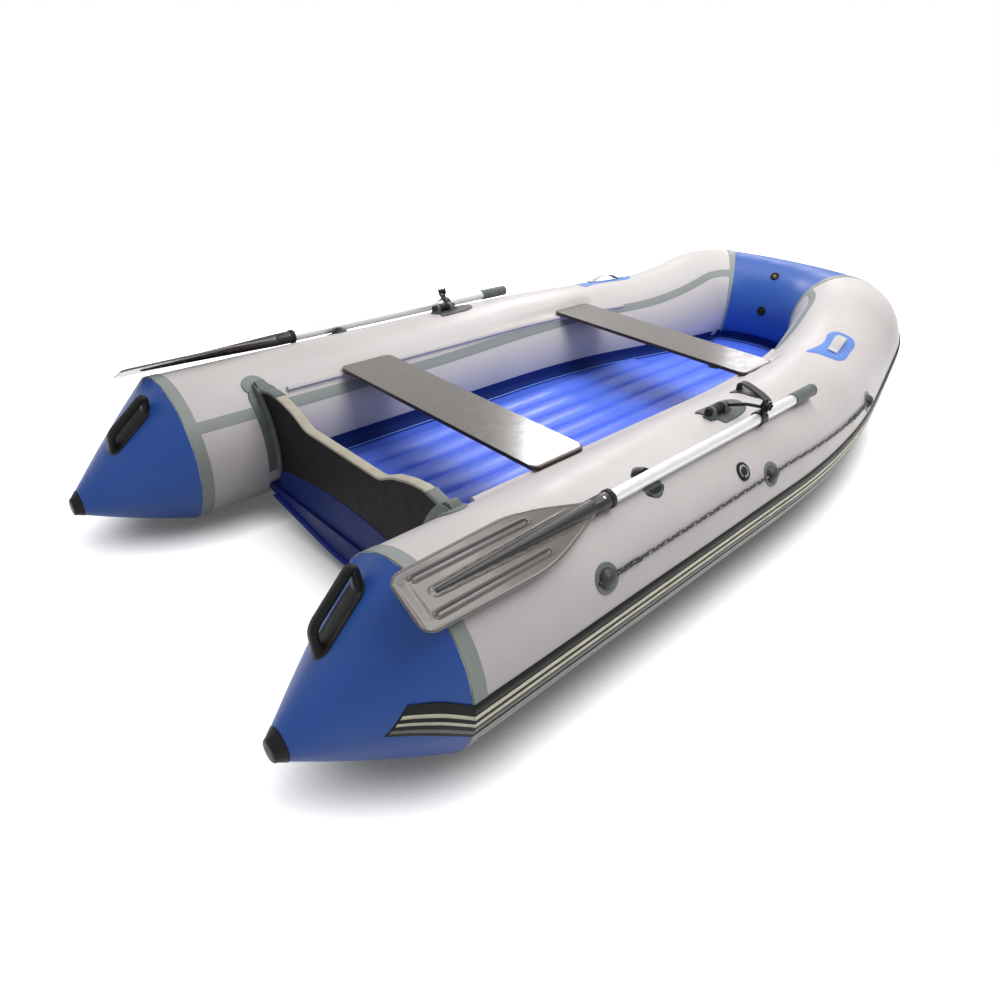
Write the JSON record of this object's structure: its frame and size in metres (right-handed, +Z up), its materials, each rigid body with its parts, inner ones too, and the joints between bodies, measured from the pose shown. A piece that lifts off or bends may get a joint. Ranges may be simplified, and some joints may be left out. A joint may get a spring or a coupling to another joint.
{
  "type": "inflatable boat",
  "caption": "Inflatable rowing and motor boat with tapered stern cones, a black transom, an air floor, sliding board seats and stowed oars on rolling oarlocks.",
  "frame": {"origin": "on the ground under the middle of the boat's box", "axes": "+X to the bow, +Y to port, +Z up"},
  "size_m": [3.2704, 1.7144, 0.5635],
  "materials": {
    "tube_fabric": "coated fabric, fine weave, light warm grey",
    "blue_fabric": "coated fabric, blue, satin",
    "seam_tape": "grey seam tape",
    "floor_fabric": "coated fabric, bright blue, satin",
    "bottom_fabric": "coated fabric, blue",
    "black_rubber": "matt black",
    "transom_board": "film-faced plywood, satin black",
    "cream_trim": "cream edge strip",
    "grey_rubber": "grey, moulded",
    "seat_board": "film-faced plywood, glossy brown-grey",
    "shaft_aluminium": "satin",
    "dark_plastic": "ribbed",
    "blade_plastic": "grey-brown, glossy",
    "black_plastic": "moulded",
    "grey_plastic": "moulded",
    "patch_fabric": "light blue patch",
    "webbing": "grey-white webbing",
    "rope": "black and white braid",
    "holder_plastic": "grey, moulded",
    "valve_grey": "grey with a black cap",
    "valve_dark": "dark grey"
  },
  "bodies": {
    "hull": {"bow_panel": "blue_fabric", "bow_strake": "black_rubber", "air_floor": "floor_fabric", "hull_bottom": "bottom_fabric", "floor_valve": "valve_dark", "transom": "transom_board", "transom_trim": "cream_trim", "fore_loop": "grey_plastic", "bow_valve_upper": "valve_dark", "bow_valve_lower": "valve_dark", "side_tube_port": "tube_fabric", "side_tube_starboard": "tube_fabric", "stern_cone_port": "blue_fabric", "stern_cone_starboard": "blue_fabric", "cone_cap_port": "black_rubber", "cone_cap_starboard": "black_rubber", "cone_handle_port": "black_rubber", "cone_handle_starboard": "black_rubber", "stern_band_port": "seam_tape", "stern_band_starboard": "seam_tape", "strake_port": "black_rubber", "strake_starboard": "black_rubber", "transom_holder_port": "grey_rubber", "transom_holder_starboard": "grey_rubber", "seat_rail_port": "tube_fabric", "seat_rail_starboard": "tube_fabric", "oar_clip_port": "grey_plastic", "oar_clip_starboard": "grey_plastic", "oarlock_base_port": "grey_plastic", "oarlock_base_starboard": "grey_plastic", "carry_patch_port": "patch_fabric", "carry_patch_starboard": "patch_fabric", "carry_handle_port": "webbing", "carry_handle_starboard": "webbing", "lifeline_port": "rope", "lifeline_starboard": "rope", "rope_holder_1_port": "holder_plastic", "rope_holder_1_starboard": "holder_plastic", "rope_holder_2_port": "holder_plastic", "rope_holder_2_starboard": "holder_plastic", "rope_holder_3_port": "holder_plastic", "rope_holder_3_starboard": "holder_plastic", "tube_valve_port": "valve_grey", "tube_valve_starboard": "valve_grey"},
    "thwart_aft": {"thwart_aft": "seat_board"},
    "thwart_fore": {"thwart_fore": "seat_board"},
    "oarlock_port": {"oarlock_pin_port": "black_plastic"},
    "oar_port": {"oar_shaft_port": "shaft_aluminium", "oar_grip_port": "dark_plastic", "oar_blade_port": "blade_plastic", "oar_collar_port": "black_plastic"},
    "oarlock_starboard": {"oarlock_pin_starboard": "black_plastic"},
    "oar_starboard": {"oar_shaft_starboard": "shaft_aluminium", "oar_grip_starboard": "dark_plastic", "oar_blade_starboard": "blade_plastic", "oar_collar_starboard": "black_plastic"}
  },
  "joints": [
    {"name": "thwart_aft_slide", "type": "slide", "parent": "hull", "child": "thwart_aft", "axis": [1, 0, 0], "range_m": [-0.2, 0.3]},
    {"name": "thwart_fore_slide", "type": "slide", "parent": "hull", "child": "thwart_fore", "axis": [1, 0, 0], "range_m": [-0.4, 0]},
    {"name": "oarlock_roll_port", "type": "hinge", "parent": "hull", "child": "oarlock_port", "pos_m": [-0.23625, 0.64, 0.478], "axis": [1, 0, 0], "range_deg": [0, 30]},
    {"name": "oar_swing_port", "type": "hinge", "parent": "oarlock_port", "child": "oar_port", "pos_m": [-0.15725, 0.73577, 0.45721], "axis": [0, -0.342, -0.9397], "range_deg": [0, 90]},
    {"name": "oarlock_roll_starboard", "type": "hinge", "parent": "hull", "child": "oarlock_starboard", "pos_m": [-0.23625, -0.64, 0.478], "axis": [-1, 0, 0], "range_deg": [0, 30]},
    {"name": "oar_swing_starboard", "type": "hinge", "parent": "oarlock_starboard", "child": "oar_starboard", "pos_m": [-0.15725, -0.73577, 0.45721], "axis": [0, -0.342, 0.9397], "range_deg": [0, 90]}
  ]
}
